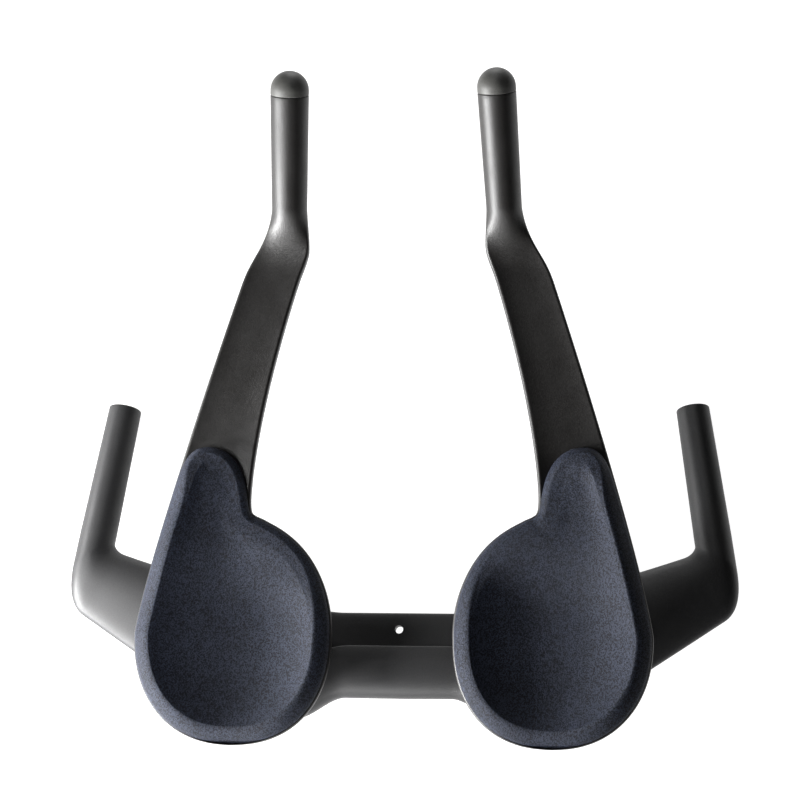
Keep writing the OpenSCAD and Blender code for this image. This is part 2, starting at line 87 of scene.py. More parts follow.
FLAT_UNDER_X = 0.1

# Horns
HORN_TIP_D = 0.0222
HORN_ROOT_D = 0.0246
HORN_REACH = 0.162
HORN_LEAN = math.radians(7)
HORN_DROP = math.radians(7.5)
HORN_BORE_D = 0.019
HORN_BORE_DEPTH = 0.062
HORN_ROOT = (0.017, 0.011, 0.002)
HORN_START = 0.005
HORN_SQUARE_AT = 0.02
LIP_R = 0.0007

# Pylons and the feet that stand on them
PYLON_X = 0.092
PYLON_BACK = 0.014
PYLON_W = 0.062
PYLON_L = 0.054
PYLON_TOP = 0.039
PYLON_FLARE = 0.0075
PYLON_EDGE_R = 0.0008
PYLON_FILLET_H = 0.012
PYLON_TUCK = 0.004
FOOT_INSET = 0.002
FOOT_GAP = 0.00005
FOOT_FLARE = 0.0045
FOOT_FILLET_H = 0.005
DIP = 0.00004  # how far a fillet's last ring goes past the skin it ends on

# Forearm arms
REST_X = 0.1013
TRAY_W = 0.126
TRAY_BACK = 0.0695
TRAY_FRONT = 0.0745
RIM_Z = 0.062
DISH_DEPTH = 0.012
TRAY_WALL = 0.005
END_WALL = 0.003
TO_END_WALL = (-0.040, -TRAY_BACK)
TO_BAR_WALL = (0.020, 0.115)
RIM_RISE = 0.007
ARM_SLOPE = math.tan(math.radians(3.6))
NECK_AHEAD = 0.010
NECK_ROUND = 0.007
NECK_ROUND_SPAN = (0.020, 0.060)
NECK_W = 0.052
ARM_END_W = 0.037
ARM_END_X = 0.0807
BEND_Y = 0.238
BEND_RUN = 0.0395
ARM_T = 0.0155
ARM_SCOOP = 0.0014
ARM_EDGE_R = 0.002
LEVEL_END = 0.010
LEVEL_ROUND = 0.060
NOTCH_ROUND = 0.1
LOBE_POWER = 2.05
FLATTEN = (0.040, 0.128)
BEND_LEAN = -0.74
BEND_LIFT = 0.84
BEND_PULL = 0.6
BEND_SOFT = 0.006
BEND_SOFT_SPAN = (0.006, 0.024)

# Grips and caps
GRIP_SPACING = 0.140
GRIP_LENGTH = 0.072
GRIP_PITCH = math.radians(31.5)
GRIP_LEAN = math.radians(3.3)
GRIP_TIP_D = 0.0248
GRIP_ROOT_D = 0.0232
GRIP_BORE_D = 0.019
GRIP_BORE_DEPTH = 0.060
GRIP_LIP_R = 0.0004
GRIP_START = 0.0014
CAP_BAND = 0.003
PLUG_LENGTH = 0.020
PLUG_GAP = 0.0001
SEAM_GAP = 0.0002

# Pads
PAD_T = 0.008
PAD_ROLL = 0.003
PAD_RIM_W = 0.012
PAD_MARGIN = 0.0012
PAD_FRONT = 0.121
TONGUE_TIP_OUT = 0.0187
TIP_OUTER = (0.024, 3)
TIP_INNER = (0.044, 2)
SPINE_BACK = (0, -0.008)
SPINE_FRONT = (0.015, PAD_FRONT - 0.024)
CREST_IN = 0.0098
CREST_FADED = 0.005
CREST_FADE_IN = (-0.010, 0.075)
CREST_FADE_OUT = (PAD_FRONT - 0.040, PAD_FRONT)
CREST_FROM = 0.0055
RIDGE_END_IN = (0.022, 0.056)
RIDGE_END_OUT = (PAD_FRONT - 0.024, PAD_FRONT - 0.004)
# Stations over the ridge, from the bowl out: distance as a share of the ridge's, and share of the rise.
PAD_FLANK = ((1.6, 0.42), (1.28, 0.83), (1.0, 1.0), (0.88, 0.985), (0.74, 0.935), (0.58, 0.845),
             (0.42, 0.725), (0.26, 0.585), (0.13, 0.45), (0.05, 0.31), (0.0, 0.18))
# Stations over the bowl, from the spine out, as shares of the way from the ridge to the spine.
BOWL_STEPS = (0.97, 0.8, 0.6, 0.45, 0.32, 0.2, 0.1, 0.04, 0)
BOWL_LIFT = 0.8
TONGUE_LIFT = 0.95
ON_TONGUE = (0.010, 0.060)
TONGUE_TILT = 0.0018
TONGUE_FILL = 0.5
TONGUE_THIN = 0.3
EDGE_COVER = 0.003
COVER_ROUND = 0.002
SOFT_GAP = 0.00045

# Stem seat
STEM_SPAN = (0.040, 0.028)
STEM_FORWARD = 0.0015
INSERT_POCKET_D = 0.0082
INSERT_POCKET_DEPTH = 0.0077

# Points round each skin
BAR_POINTS = 150
PYLON_POINTS = 120
FOOT_POINTS = 112
CAP_POINTS = 96
PAD_POINTS = 320
POST_POINTS = 48
SHARP_ANGLE = math.radians(40)


# Curves and blends

def mix(a, b, t):
    """a + (b - a) t."""
    return a + (b - a) * t


def ease(a, b, v):
    """3 t^2 - 2 t^3 with t = (v - a) / (b - a), held between 0 and 1."""
    t = np.clip((v - a) / (b - a), 0, 1)
    return t * t * (3 - 2 * t)


def ramp(v, round_over):
    """(v + sqrt(v^2 + r^2)) / 2: v where it is positive, 0 where it is negative, round in between."""
    return (v + np.sqrt(v * v + round_over * round_over)) / 2


def soft_min(a, b, round_over):
    """(a + b - sqrt((a - b)^2 + r^2)) / 2."""
    return (a + b - np.sqrt((a - b) ** 2 + round_over * round_over)) / 2


def shoulder(v, power):
    """(1 - |v|^p)^(1/p): a quarter of a superellipse, 1 at v = 0 and 0 at v = 1."""
    return np.maximum(0, 1 - np.minimum(1, np.abs(v)) ** power) ** (1 / power)


def spow(v, power):
    """sign(v) |v|^p."""
    return np.sign(v) * np.abs(v) ** power


def unit(v):
    """v / |v| along the last axis."""
    return v / np.linalg.norm(v, axis=-1, keepdims=True)


def bend_curve(a, b, c, t):
    """a (1-t)^2 + 2 b t (1-t) + c t^2, for a column of t."""
    return a * (1 - t) ** 2 + 2 * b * t * (1 - t) + c * t * t


def through(rings, steps):
    """Catmull-Rom curve through the first axis: between rings 1 and 2,
    (2 p1 + (p2 - p0) t + (2 p0 - 5 p1 + 4 p2 - p3) t^2 + (3 p1 - p0 - 3 p2 + p3) t^3) / 2."""
    padded = np.concatenate([2 * rings[:1] - rings[1:2], rings, 2 * rings[-1:] - rings[-2:-1]])
    t = (np.arange(steps) / steps)[None, :, None, None]
    p0, p1, p2, p3 = (padded[k:len(padded) - 3 + k][:, None] for k in range(4))
    curve = (2 * p1 + (p2 - p0) * t + (2 * p0 - 5 * p1 + 4 * p2 - p3) * t ** 2
             + (3 * p1 - p0 - 3 * p2 + p3) * t ** 3) / 2
    return np.concatenate([curve.reshape(-1, *rings.shape[1:]), rings[-1:]])


# Meshes

def mesh_of(name, points, quads, triangles):
    """A smooth mesh from an array of points and arrays of corners, turned so that its volume,
    the sum of a . (b x c) / 6 over its triangles, is positive."""
    fan = np.concatenate([quads[:, [0, 1, 2]], quads[:, [0, 2, 3]], triangles])
    a, b, c = (points[fan[:, k]] for k in range(3))
    if np.einsum("ij,ij->", a, np.cross(b, c)) < 0:
        quads, triangles = quads[:, ::-1], triangles[:, ::-1]
    mesh = bpy.data.meshes.new(name)
    mesh.vertices.add(len(points))
    mesh.vertices.foreach_set("co", points.astype(np.float32).ravel())
    corners = np.concatenate([quads.ravel(), triangles.ravel()]).astype(np.int32)
    sizes = np.concatenate([np.full(len(quads), 4), np.full(len(triangles), 3)])
    mesh.loops.add(len(corners))
    mesh.loops.foreach_set("vertex_index", corners)
    mesh.polygons.add(len(sizes))
    mesh.polygons.foreach_set("loop_start", (np.cumsum(sizes) - sizes).astype(np.int32))
    mesh.polygons.foreach_set("use_smooth", np.ones(len(sizes), bool))
    mesh.update(calc_edges=True)
    mesh.validate()
    return mesh


def skin(rings):
    """Corners of the surface over m rings of n points: (k, i), (k, i+1), (k+1, i+1), (k+1, i),
    with each end zipped from its point i to its point n - i."""
    m, n = rings.shape[:2]
    k, i = (v.ravel() for v in np.meshgrid(np.arange(m - 1), np.arange(n), indexing="ij"))
    j = (i + 1) % n
    quads = [np.stack([k * n + i, k * n + j, (k + 1) * n + j, (k + 1) * n + i], 1)]
    z = np.arange(1, n // 2 - 1)
    strip = np.stack([z, n - z, n - z - 1, z + 1], 1)
    ends = np.array([[0, n - 1, 1], [n // 2 - 1, n // 2 + 1, n // 2]])
    last = (m - 1) * n
    quads += [strip, last + strip[:, ::-1]]
    return rings.reshape(-1, 3), np.concatenate(quads), np.concatenate([ends, last + ends[:, ::-1]])


def solid(name, *grids):
    """One object over several closed skins."""
    parts = [skin(rings) for rings in grids]
    starts = np.cumsum([0] + [len(points) for points, _, _ in parts])
    points = np.concatenate([p for p, _, _ in parts])
    quads = np.concatenate([q + start for (_, q, _), start in zip(parts, starts)])
    triangles = np.concatenate([t + start for (_, _, t), start in zip(parts, starts)])
    obj = bpy.data.objects.new(name, mesh_of(name, points, quads, triangles))
    bpy.context.scene.collection.objects.link(obj)
    return obj


def mirrored(rings):
    """The left-hand twin of a right-hand grid: x becomes -x."""
    return rings * np.array([-1.0, 1.0, 1.0])


# Base bar

mid_z = BAR_HEIGHT / 2
front_y = CENTER_CHORD / 2 - BAR_BACK
back_y = front_y - CENTER_CHORD
stem_y = (front_y + back_y) / 2 + STEM_FORWARD
corner_front = np.array([BAR_WIDTH / 2 - FRONT_CORNER_IN, front_y + WING_SWEEP, mid_z])
corner_back = np.array([BAR_WIDTH / 2 + BACK_CORNER_OUT[0], front_y + BACK_CORNER_OUT[1], mid_z])
sweep_start = corner_back[0] - (corner_back[1] - back_y + FOOT_BULGE) / REAR_SLOPE


def front_edge(x):
    """front_y + sweep ((x - straight) / (corner - straight))^p, straight before that."""
    reach = np.maximum(0, x - STRAIGHT_HALF) / (corner_front[0] - STRAIGHT_HALF)
    return front_y + WING_SWEEP * reach ** SWEEP_POWER


def back_edge(x):
    """back_y, less an eased bulge under the pylon, plus slope times a ramp that starts at the wing."""
    return (back_y - FOOT_BULGE * ease(*FOOT_BULGE_X, x)
            + REAR_SLOPE * (ramp(x - sweep_start, REAR_ROUND) - ramp(-sweep_start, REAR_ROUND)))


def on_edge(edge, x):
    return np.array([x, edge(x), mid_z])


horn_dir = np.array([-math.sin(HORN_LEAN) * math.cos(HORN_DROP),
                     math.cos(HORN_LEAN) * math.cos(HORN_DROP), -math.sin(HORN_DROP)])
horn_across = np.array([math.cos(HORN_LEAN), math.sin(HORN_LEAN), 0])
horn_root = np.array([BAR_WIDTH / 2 - HORN_ROOT[0], corner_front[1] + HORN_ROOT[1],
                      mid_z - HORN_ROOT[2]])
horn_length = (HORN_REACH - horn_root[1]) / horn_dir[1]
horn_half = HORN_ROOT_D / 2
elbow_in_front = on_edge(front_edge, corner_front[0] - ELBOW_FRONT[0])
elbow_in_back = on_edge(back_edge, corner_back[0] - ELBOW_BACK[0])
elbow_out_front = horn_root - horn_across * horn_half - horn_dir * ELBOW_FRONT[1]
elbow_out_back = horn_root + horn_across * horn_half - horn_dir * ELBOW_BACK[1]


def rails(s):
    """Front and back rails by s: the edges for x = s up to 1, a bend round the elbow up to 2,
    and straight lines into the horn up to 3."""
    s = np.asarray(s, float)[:, None]
    rows = []
    for start, corner, end, side, edge in (
            (elbow_in_front, corner_front, elbow_out_front, -1, front_edge),
            (elbow_in_back, corner_back, elbow_out_back, 1, back_edge)):
        x = start[0] * np.minimum(s, 1)
        flat = np.concatenate([x, edge(x), np.full_like(x, mid_z)], 1)
        bend = bend_curve(start, corner, end, np.clip(s - 1, 0, 1))
        into_horn = mix(end, horn_root + side * horn_across * horn_half + horn_dir * HORN_START, s - 2)
        rows.append(np.where(s <= 1, flat, np.where(s <= 2, bend, into_horn)))
    return rows


step_chord = 1 - 2 * FLANGE_DEPTH / CENTER_CHORD
spar_peak = step_chord - SPAR_PEAK_BACK


def sections(angle, s):
    """Chord and height over the rails, for a row of angles and a column of s. The middle is a flat
    flange with a raised spar behind it, the wing is an aerofoil and the elbow is round, blended by s.
    The step's top edge is a quarter circle: r (1 - sqrt(1 - (1 - u)^2)) lower at u radii behind it."""
    c, d = np.cos(angle), np.sin(angle)
    half_t = mix(mid_z + SEAT_DROP, horn_half, ease(*THICKEN, s))
    flange_c = mix(step_chord, 1, np.abs(c) ** 0.3)
    flange_z = mix(FLANGE_T / 2, FLANGE_T, np.abs(d) ** 0.3)
    spar_c = mix(step_chord, -1, np.abs(c) ** 0.9)
    rise = np.where(spar_c > spar_peak, shoulder((spar_c - spar_peak) / SPAR_FRONT_REACH, 2),
                    shoulder((spar_c - spar_peak) / (1 + spar_peak), 2.3))
    short = 1 - np.clip((step_chord - spar_c) * CENTER_CHORD / 2 / STEP_R, 0, 1)
    spar_z = mix(mid_z * SPAR_LOW, BAR_HEIGHT, rise) - STEP_R * (1 - np.sqrt(1 - short * short))
    under_z = mix(mid_z * UNDER_HIGH, -SEAT_DROP, np.abs(d) ** 0.3)
    quarter = math.pi / 2
    middle_c = np.where(angle < quarter, flange_c, np.where(angle <= math.pi, spar_c, spow(c, 0.45)))
    middle_z = np.where(angle < quarter, flange_z, np.where(angle <= math.pi, spar_z, under_z)) - mid_z
    wing_z = half_t * spow(d, 0.9) * (1 + WING_NOSE * c)
    to_wing, to_round = ease(*TO_WING, s), ease(1, 2, s)
    chord = mix(mix(middle_c, c, to_wing), c, to_round)
    height = mix(mix(middle_z, wing_z, to_wing), half_t * d, to_round)
    return chord, height


def section_angles(count):
    """Angles that share their points between even steps and even lengths of the middle section's
    outline, with more of them round the step."""
    dense = np.linspace(0, 2 * math.pi, 20001)[:-1]
    c, z = sections(dense, np.zeros(1))
    c = c * CENTER_CHORD / 2
    length = np.concatenate([[0], np.cumsum(np.hypot(np.diff(c), np.diff(z)))])
    share = 0.75 * length / length[-1] + 0.25 * dense / dense[-1]
    angles = np.interp(np.linspace(0, 1, count + 1)[:-1], share, dense)
    step = math.pi / 2 + np.array([-1e-5, -1e-7, 1e-6, 5e-4, 0.0016, 0.0035, 0.0062,
                                   0.0098, 0.0142, 0.019])
    return np.sort(np.concatenate([angles[(angles < step[0]) | (angles > step[-1] + 0.004)], step]))


def bar_grid(s, angle):
    """Rings over the bar: back rail + (front - back) (1 + chord) / 2, raised by the height."""
    front, back = rails(s)
    chord, height = sections(angle[None, :], np.asarray(s)[:, None])
    rings = mix(back[:, None], front[:, None], (1 + chord[..., None]) / 2)
    rings[..., 2] += height
    seat = -SEAT_DROP * ease(SEAT_HALF, SEAT_HALF + SEAT_EASE, rings[..., 0])
    seated = np.maximum(rings[..., 2], seat)
    rings[..., 2] = np.where(rings[..., 0] < FLAT_UNDER_X, seated, rings[..., 2])
    return rings


def tube_profile(length, root_r, tip_r, lip_r, bore_r, bore_depth, start, steps):
    """Distance and radius along a bored tube: cone, rounded lip, the mouth's edge and the bore."""
    d = np.linspace(start, length - lip_r, steps)
    turn = np.linspace(0, math.pi / 2, 6)[1:]
    r = mix(root_r, tip_r, d / length)
    lip_d, lip_rad = length - lip_r + lip_r * np.sin(turn), r[-1] - lip_r + lip_r * np.cos(turn)
    edge_d = length - lip_r / 2 + lip_r / 2 * np.cos(turn)
    edge_rad = bore_r + lip_r / 2 * (1 - np.sin(turn))
    bore_d = np.array([length - lip_r, length - 0.01, length - bore_depth / 2, length - bore_depth])
    return (np.concatenate([d, lip_d, edge_d, bore_d]),
            np.concatenate([r, lip_rad, edge_rad, np.full(4, bore_r)]))


def horn_grid(angle):
    """Rings round the horn: root + d dir + r (-across cos + up sin), up easing from +Z to square."""
    d, r = tube_profile(horn_length, HORN_ROOT_D / 2, HORN_TIP_D / 2, LIP_R, HORN_BORE_D / 2,
                        HORN_BORE_DEPTH, HORN_START, 34)
    square = np.cross(horn_across, horn_dir)
    up = unit(mix(np.array([0, 0, 1.0]), square, ease(HORN_START, HORN_SQUARE_AT, d)[:, None]))
    c, s = np.cos(angle)[None, :, None], np.sin(angle)[None, :, None]
    axis = horn_root + d[:, None] * horn_dir
    return axis[:, None] + r[:, None, None] * (up[:, None] * s - horn_across * c)


def wing_top(x, y):
    """Height of the wing's top at (x, y). s is halved down until the rails' chord passes through the
    point, and the section's height is read at that share of the chord."""
    low, high = np.zeros_like(x), np.full_like(x, 1.4)
    for _ in range(30):
        s = (low + high) / 2
        front, back = rails(s)
        beyond = ((front[:, 0] - back[:, 0]) * (y - back[:, 1])
                  - (front[:, 1] - back[:, 1]) * (x - back[:, 0])) > 0
        low, high = np.where(beyond, low, s), np.where(beyond, s, high)
    run = front[:, :2] - back[:, :2]
    share = ((np.stack([x, y], 1) - back[:, :2]) * run).sum(1) / (run ** 2).sum(1)
    angle = np.linspace(0, math.pi, 241)
    chord, height = sections(angle[None, :], s[:, None])
    want = np.clip(2 * share - 1, -0.999, 0.999)
    after = np.clip((chord > want[:, None]).sum(1), 1, len(angle) - 1)
    row = np.arange(len(x))
    c0, c1 = chord[row, after - 1], chord[row, after]
    t = (want - c0) / np.where(np.abs(c1 - c0) > 1e-9, c1 - c0, 1)
    return mid_z + mix(height[row, after - 1], height[row, after], t)


def pylon_grid():
    """Rings of superellipses (w cos^0.6, l sin^0.6): a rounded top edge, an upright wall and a fillet,
    a quarter ellipse that ends level on the wing."""
    count = PYLON_POINTS
    angle = np.linspace(0, 2 * math.pi, count + 1)[:-1]
    turn = np.linspace(0, math.pi / 2, 15)
    c, s = spow(np.cos(angle), 0.6), spow(np.sin(angle), 0.6)

    def ring(grow):
        x = PYLON_X + (PYLON_W / 2 + grow) * c
        return x, (PYLON_L / 2 + 0.8 * grow) * s - PYLON_BACK

    rings = []
    top = np.full(count, PYLON_TOP)
    for scale in (0.3, 0.7, 0.94):
        x, y = ring(0)
        rings.append(np.stack([mix(PYLON_X, x, scale), mix(-PYLON_BACK, y, scale), top], 1))
    for t in turn[::3]:
        x, y = ring(-PYLON_EDGE_R * (1 - math.sin(t)))
        rings.append(np.stack([x, y, top - PYLON_EDGE_R * (1 - math.cos(t))], 1))
    x, y = ring(0)
    wall_end = wing_top(x, y) + PYLON_FILLET_H
    for t in (0.35, 0.7):
        rings.append(np.stack([x, y, mix(PYLON_TOP - PYLON_EDGE_R, wall_end, t)], 1))
    for t in turn:
        x, y = ring(PYLON_FLARE * (1 - math.cos(t)))
        rings.append(np.stack([x, y, wing_top(x, y) + PYLON_FILLET_H * (1 - math.sin(t)) - DIP], 1))
    x, y = ring(PYLON_FLARE - PYLON_TUCK)
    rings.append(np.stack([x, y, np.full(count, mid_z)], 1))
    return np.array(rings)


def cut(obj, cutters):
    """Takes closed cutters out of a mesh, and marks edges sharper than SHARP_ANGLE."""
    modifier = obj.modifiers.new("cut", "BOOLEAN")
    modifier.operation = "DIFFERENCE"
    modifier.solver = "EXACT"
    modifier.object = cutters
    graph = bpy.context.evaluated_depsgraph_get()
    mesh = bpy.data.meshes.new_from_object(obj.evaluated_get(graph))
    obj.modifiers.clear()
    obj.data = mesh
    mesh.polygons.foreach_set("use_smooth", np.ones(len(mesh.polygons), bool))
    mesh.set_sharp_from_angle(angle=SHARP_ANGLE)
    bpy.data.objects.remove(cutters)


def post_grid(x, y, low, high, r):
    """An upright cylinder as rings at its two ends."""
    angle = np.linspace(0, 2 * math.pi, POST_POINTS + 1)[:-1]
    circle = np.stack([x + r * np.cos(angle), y + r * np.sin(angle)], 1)
    return np.stack([np.column_stack([circle, np.full(POST_POINTS, z)]) for z in (low, high)])


def make_base_bar():
    angle = section_angles(BAR_POINTS)
    s = np.concatenate([np.linspace(0, 0.66, 96)[:-1], np.linspace(0.66, 1, 34)[:-1],
                        np.linspace(1, 2, 64)[:-1], np.linspace(2, 3, 10)[:-1]])
    half = np.concatenate([bar_grid(s, angle), horn_grid(angle)])
    whole = np.concatenate([half[::-1], mirrored(half[1:])])
    pylon = pylon_grid()
    bar = solid("base_bar_moulding", whole)
    below, above = -0.01, 0.03
    holes = [post_grid(0, front_y - HOLE_INSET, below, above, HOLE_D / 2)]
    holes += [post_grid(x * STEM_SPAN[0] / 2, stem_y + y * STEM_SPAN[1] / 2, below, INSERT_POCKET_DEPTH,
                        INSERT_POCKET_D / 2) for x in (-1, 1) for y in (-1, 1)]
    cut(bar, solid("hole_cutters", *holes))
    pylons = solid("pylon_mouldings", pylon, mirrored(pylon))
    return bar, pylons


# Arms

neck_y = TRAY_FRONT + NECK_AHEAD


def out_edge(y):
    """rest + w/2 (1 - |y/back|^2.2)^(1/2.2) behind the seat, then a power curve in to the bend."""
    full = REST_X + TRAY_W / 2
    front = full - (full - ARM_END_X - ARM_END_W / 2) * (np.maximum(y, 0) / BEND_Y) ** 1.17
    return np.where(y < 0, REST_X + TRAY_W / 2 * shoulder(y / TRAY_BACK, 2.2), front)


neck_in = out_edge(neck_y) - NECK_W


def in_edge(y):
    """The smaller of the lobe's inner side and the forearm bar's inner side, with a soft corner."""
    round_front = ramp(1 - (np.abs(y) / TRAY_FRONT) ** LOBE_POWER, NOTCH_ROUND) ** (1 / LOBE_POWER)
    share = np.where(y < 0, shoulder(y / TRAY_BACK, 2.3), round_front)
    lobe = REST_X - TRAY_W / 2 * share + 2 * np.maximum(0, y - TRAY_FRONT)
    bar = (neck_in - (neck_in - ARM_END_X + ARM_END_W / 2)
           * (np.maximum(0, y - neck_y) / (BEND_Y - neck_y)) ** 1.51)
    return np.where(y < 0, lobe, soft_min(lobe, bar, NECK_ROUND * ease(*NECK_ROUND_SPAN, y)))


def flat_share(y):
    return ease(*FLATTEN, y)


def rim_height(x, y):
    """rim + slope ramp(y - level) + rise (x - rest) / w, the last easing out to the front."""
    tilt = RIM_RISE * (x - REST_X) / TRAY_W * (1 - flat_share(y))
    return RIM_Z + ARM_SLOPE * ramp(y - LEVEL_END, LEVEL_ROUND) + tilt


def dish(y):
    return mix(ARM_SCOOP, DISH_DEPTH, (1 - flat_share(y)) * shoulder(np.minimum(0, y) / TRAY_BACK, 2.4))


def wall(y):
    under_dish = mix(TRAY_WALL, END_WALL, ease(*TO_END_WALL, y))
    return mix(under_dish, ARM_T - ARM_SCOOP, ease(*TO_BAR_WALL, y))


def tray_top(x, y):
    """rim height less dish (1 - |t|^2.6), with t from -1 to 1 across the tray."""
    a, b = in_edge(y), out_edge(y)
    t = np.minimum(1, np.abs(2 * x - a - b) / (b - a - 2 * ARM_EDGE_R))
    return rim_height(x, y) - dish(y) * (1 - t ** 2.6)


TOP_STEPS = np.linspace(-1, 1, 63)
EDGE_STEPS = np.linspace(0, 1, 7)[1:]
BELLY = np.radians(np.linspace(0, 180, 50)[1:-1])


def flat_ring(half_w, hollow, depth, belly):
    """Across and height of the arm's section, for columns of sizes: a top hollowed by (1 - |u|^2.6),
    quarter-round edges and a belly (w cos^0.85, depth sin^p)."""
    r = ARM_EDGE_R
    corner = EDGE_STEPS * math.pi / 2
    top = (-(half_w - r) * TOP_STEPS, -hollow * (1 - np.abs(TOP_STEPS) ** 2.6))
    inner = (-(half_w - r) - r * np.sin(corner), 0 * half_w - r + r * np.cos(corner))
    under = (-half_w * spow(np.cos(BELLY), 0.85), -r - (depth - r) * np.sin(BELLY) ** belly)
    outer = (-inner[0][:, ::-1], inner[1][:, ::-1])
    return (np.concatenate([top[0], inner[0], under[0], outer[0]], 1),
            np.concatenate([top[1], inner[1], under[1], outer[1]], 1))


def round_ring(r):
    """The same points round a circle: the top spans 78 degrees each way and the edges the 12 left."""
    spread = np.radians(np.concatenate([-78 * TOP_STEPS, -78 - 12 * EDGE_STEPS,
                                        -90 - np.degrees(BELLY), -270 - 12 * (1 - EDGE_STEPS[::-1])]))
    return r * np.sin(spread), r * np.cos(spread)


def arm_grid():
    """Rings along the tray and the forearm bar, one for each y, over the rim's height."""
    back = -TRAY_BACK * np.cos(np.linspace(0.012, math.pi / 2, 64)[:-1])
    y = np.concatenate([back, np.linspace(0, 0.1, 62)[:-1], np.linspace(0.1, 0.214, 38)[:-1],
                        np.linspace(0.214, BEND_Y, 28)[:-1]])[:, None]
    a, b = in_edge(y), out_edge(y)
    across, height = flat_ring((b - a) / 2, dish(y), dish(y) + wall(y), mix(0.8, 0.6, flat_share(y)))
    x = (a + b) / 2 + across
    return np.stack([x, y + 0 * x, rim_height(x, y) + height], -1)


grip_dir = np.array([-math.sin(GRIP_LEAN) * math.cos(GRIP_PITCH),
                     math.cos(GRIP_LEAN) * math.cos(GRIP_PITCH), math.sin(GRIP_PITCH)])
bend_start = np.array([ARM_END_X, BEND_Y, float(rim_height(ARM_END_X, BEND_Y)) - ARM_T / 2])
grip_root = np.array([GRIP_SPACING / 2, BEND_Y + BEND_RUN,
                      bend_start[2] + BEND_RUN * mix(ARM_SLOPE, math.tan(GRIP_PITCH), BEND_LIFT)])
start_pull = np.array([BEND_LEAN, 1, ARM_SLOPE]) * BEND_RUN
end_pull = grip_dir * BEND_RUN * BEND_PULL


def bend_middle(t):
    """Hermite curve from the forearm bar's middle to the grip's axis."""
    return (bend_start * (2 * t ** 3 - 3 * t ** 2 + 1) + start_pull * (t ** 3 - 2 * t ** 2 + t)
            + grip_root * (3 * t ** 2 - 2 * t ** 3) + end_pull * (t ** 3 - t ** 2))


def bend_grid():
    """Rings round the bend: the flat section turns round while its frame turns square to the path."""
    t = np.linspace(0, 1, 46)[:, None]
    ahead = unit(bend_middle(t + 0.02) - bend_middle(t - 0.02))
    turn = ease(0, 1, t)
    level = np.stack([ahead[:, 1], -ahead[:, 0], 0 * ahead[:, 0]], 1)
    across = unit(mix(np.array([1.0, 0, 0]), level, turn))
    up = unit(mix(np.array([0, 0, 1.0]), np.cross(across, ahead), turn))
    r = mix(ARM_T / 2, GRIP_ROOT_D / 2, turn)
    half_w = mix(ARM_END_W / 2, GRIP_ROOT_D / 2, t ** 9)
    flat_x, flat_z = flat_ring(half_w, ARM_SCOOP + 0 * r, 2 * r, 0.6)
    round_x, round_z = round_ring(r)
    x, z = mix(flat_x, round_x, turn), mix(flat_z + r, round_z, turn)
    return bend_middle(t)[:, None] + across[:, None] * x[..., None] + up[:, None] * z[..., None]


def grip_frame():
    across = unit(np.array([grip_dir[1], -grip_dir[0], 0]))
    return across, np.cross(across, grip_dir)


def grip_grid():
    """Rings round the grip's axis: root + d dir + across x + up z, on to the lip and down the bore."""
    d, r = tube_profile(GRIP_LENGTH, GRIP_ROOT_D / 2, GRIP_TIP_D / 2, GRIP_LIP_R, GRIP_BORE_D / 2,
                        GRIP_BORE_DEPTH, GRIP_START, 30)
    across, up = grip_frame()
    x, z = round_ring(r[:, None])
    return (grip_root + d[:, None] * grip_dir)[:, None] + across * x[..., None] + up * z[..., None]


def tray_under(x, y):
    """Height of the arm's belly at (x, y), from the section's cosine at that place."""
    a, b = in_edge(y), out_edge(y)
    c = np.clip(np.abs(2 * x - a - b) / (b - a), 0, 0.999) ** (1 / 0.85)
    depth = dish(y) + wall(y) - ARM_EDGE_R
    return rim_height(x, y) - ARM_EDGE_R - depth * np.sqrt(1 - c * c) ** mix(0.8, 0.6, flat_share(y))


def foot_grid():
    """Rings of superellipses from the pylon's top up into the tray, with a fillet under the tray."""
    count = FOOT_POINTS
    angle = np.linspace(0, 2 * math.pi, count + 1)[:-1]
    c, s = spow(np.cos(angle), 0.55), spow(np.sin(angle), 0.55)

    def ring(grow):
        x = PYLON_X + (PYLON_W / 2 - FOOT_INSET + grow) * c
        return x, (PYLON_L / 2 - FOOT_INSET + grow) * s - PYLON_BACK

    low = np.full(count, PYLON_TOP + FOOT_GAP)
    rings = []
    for scale in (0.3, 0.8):
        x, y = ring(0)
        rings.append(np.stack([mix(PYLON_X, x, scale), mix(-PYLON_BACK, y, scale), low], 1))
    for grow, lift in ((-0.0006, 0), (-0.0002, 0.0002), (0, 0.0006)):
        x, y = ring(grow)
        rings.append(np.stack([x, y, low + lift], 1))
    for t in np.linspace(0, math.pi / 2, 12):
        x, y = ring(FOOT_FLARE * (1 - math.cos(t)))
        top = tray_under(x, y)
        start = np.maximum(low + 0.0008, top - FOOT_FILLET_H)
        rings.append(np.stack([x, y, mix(start, top, math.sin(t)) + DIP * (t > 1.5)], 1))
    x, y = ring(-0.002)
    rings.append(np.stack([x, y, tray_under(x, y) + 0.0015], 1))
    return np.array(rings)


def soften_bend(rings):
    """Takes the corner off where the forearm bar meets the bend: each ring becomes the mean of its
    neighbours weighted by exp(-(distance / r)^2 / 2), with r falling from BEND_SOFT at the corner to
    almost nothing either side."""
    middle = rings.mean(1)
    d = np.concatenate([[0], np.cumsum(np.linalg.norm(np.diff(middle, axis=0), axis=1))])
    corner = d[np.argmin(np.abs(middle[:, 1] - BEND_Y))]
    r = 0.00001 + BEND_SOFT * (1 - ease(*BEND_SOFT_SPAN, np.abs(d - corner)))
    weight = np.exp(-((d[:, None] - d[None, :]) / r[:, None]) ** 2 / 2)
    weight *= np.gradient(d)[None, :]
    return np.einsum("ij,jkl->ikl", weight / weight.sum(1, keepdims=True), rings)


def make_arms():
    arm = np.concatenate([soften_bend(np.concatenate([arm_grid(), bend_grid()])), grip_grid()])
    foot = foot_grid()
    return (solid("arm_moulding_right", arm, foot),
            solid("arm_moulding_left", mirrored(arm), mirrored(foot)))


# Caps

